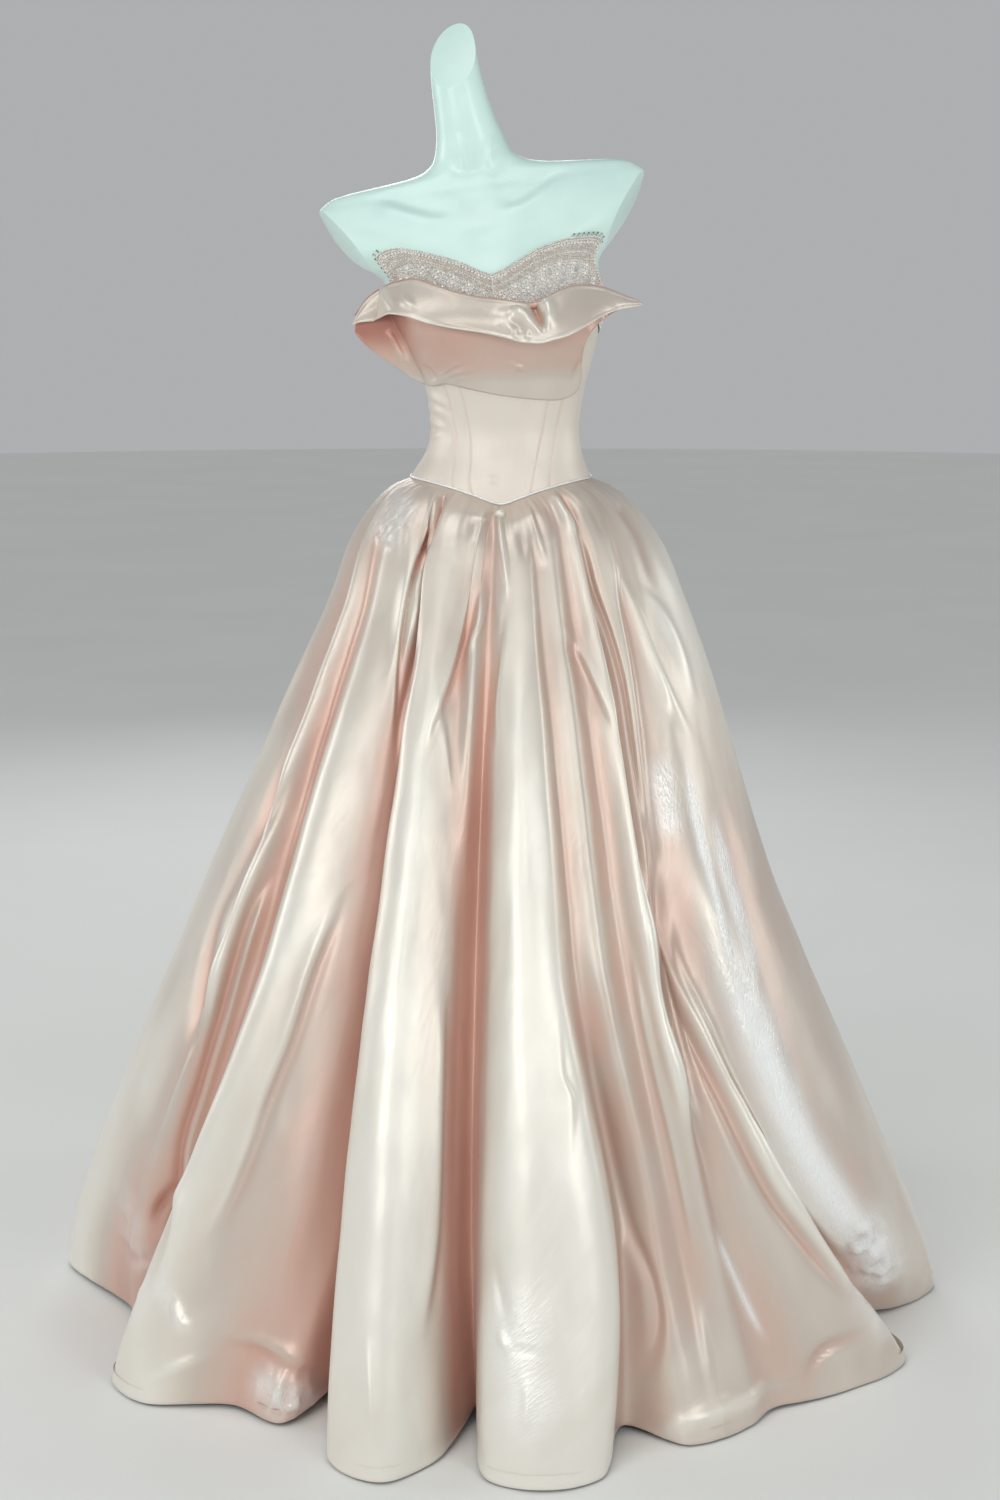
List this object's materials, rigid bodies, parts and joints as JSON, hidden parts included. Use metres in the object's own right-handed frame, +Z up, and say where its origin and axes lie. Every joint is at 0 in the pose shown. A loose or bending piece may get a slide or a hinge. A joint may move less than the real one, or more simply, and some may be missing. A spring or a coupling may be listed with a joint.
{
  "type": "ball gown on a dress form",
  "caption": "Strapless satin ball gown with a folded bust drape and beaded neckline, on a limbless display form with a round base.",
  "frame": {"origin": "on the floor under the display form's pole, at the middle of the round base's underside", "axes": "+Z up; -Y is the gown's front; +X is the wearer's left"},
  "size_m": [1.2063, 1.0899, 1.672],
  "materials": {
    "blush_satin": "satin",
    "bodice_satin": "satin",
    "beaded_lace": "beaded",
    "zip_tape": "matt",
    "form_white": "satin gloss",
    "stand_steel": "brushed"
  },
  "bodies": {
    "root": {"form_torso": "form_white", "form_pole": "stand_steel", "form_base": "stand_steel", "bodice_centre_front": "bodice_satin", "bodice_side_front_left": "bodice_satin", "bodice_side_front_right": "bodice_satin", "bodice_side_left": "bodice_satin", "bodice_side_right": "bodice_satin", "bodice_back_left": "bodice_satin", "bodice_back_right": "bodice_satin", "back_zip": "zip_tape", "beaded_band": "beaded_lace", "bust_drape": "blush_satin", "skirt_front": "blush_satin", "skirt_side_left": "blush_satin", "skirt_side_right": "blush_satin", "skirt_back_left": "blush_satin", "skirt_back_right": "blush_satin"}
  },
  "joints": []
}
